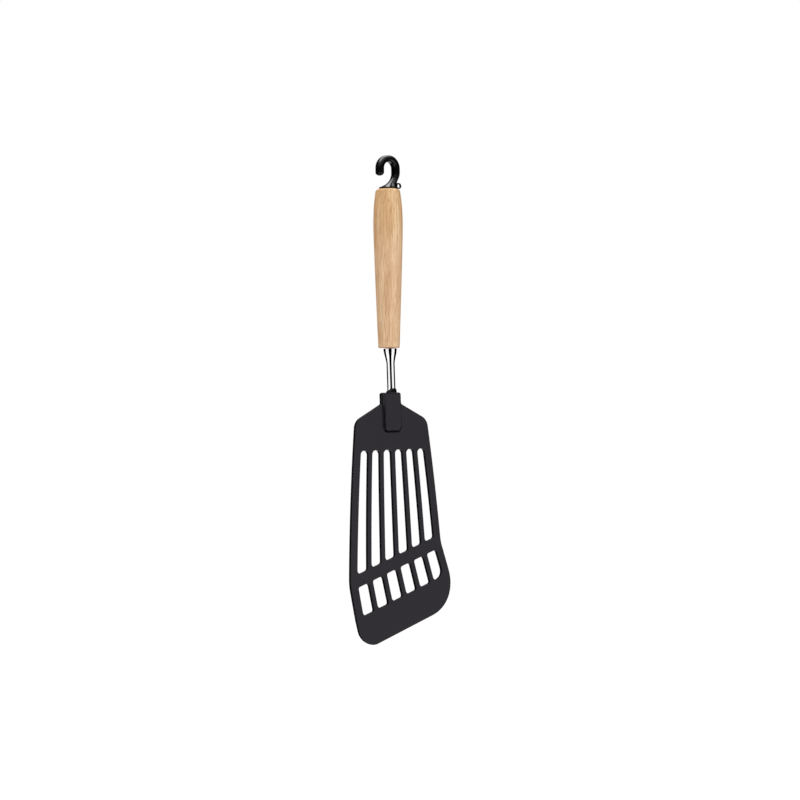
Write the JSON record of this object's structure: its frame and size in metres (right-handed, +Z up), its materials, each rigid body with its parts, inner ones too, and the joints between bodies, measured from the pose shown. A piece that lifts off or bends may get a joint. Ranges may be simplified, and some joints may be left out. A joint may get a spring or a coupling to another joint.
{
  "type": "kitchen turner",
  "caption": "Slotted kitchen turner: a nylon blade with a diagonally bent lip, a polished steel shaft, a turned beech handle and a moulded hanging hook.",
  "frame": {"origin": "inside top of the hanging hook, where it sits on a rail or peg", "axes": "+Z up along the handle; the blade hangs down along -Z; the blade's upper face, with the socket, looks towards -Y; +X to the right seen from that side"},
  "size_m": [0.0847, 0.0371, 0.347],
  "materials": {
    "hook_plastic": "semi-gloss black",
    "beech": "fine sanded, oiled",
    "steel": "mirror polished stainless steel",
    "nylon": "satin moulded nylon"
  },
  "bodies": {
    "root": {"hook": "hook_plastic", "handle": "beech", "shaft": "steel", "blade": "nylon"}
  },
  "joints": []
}
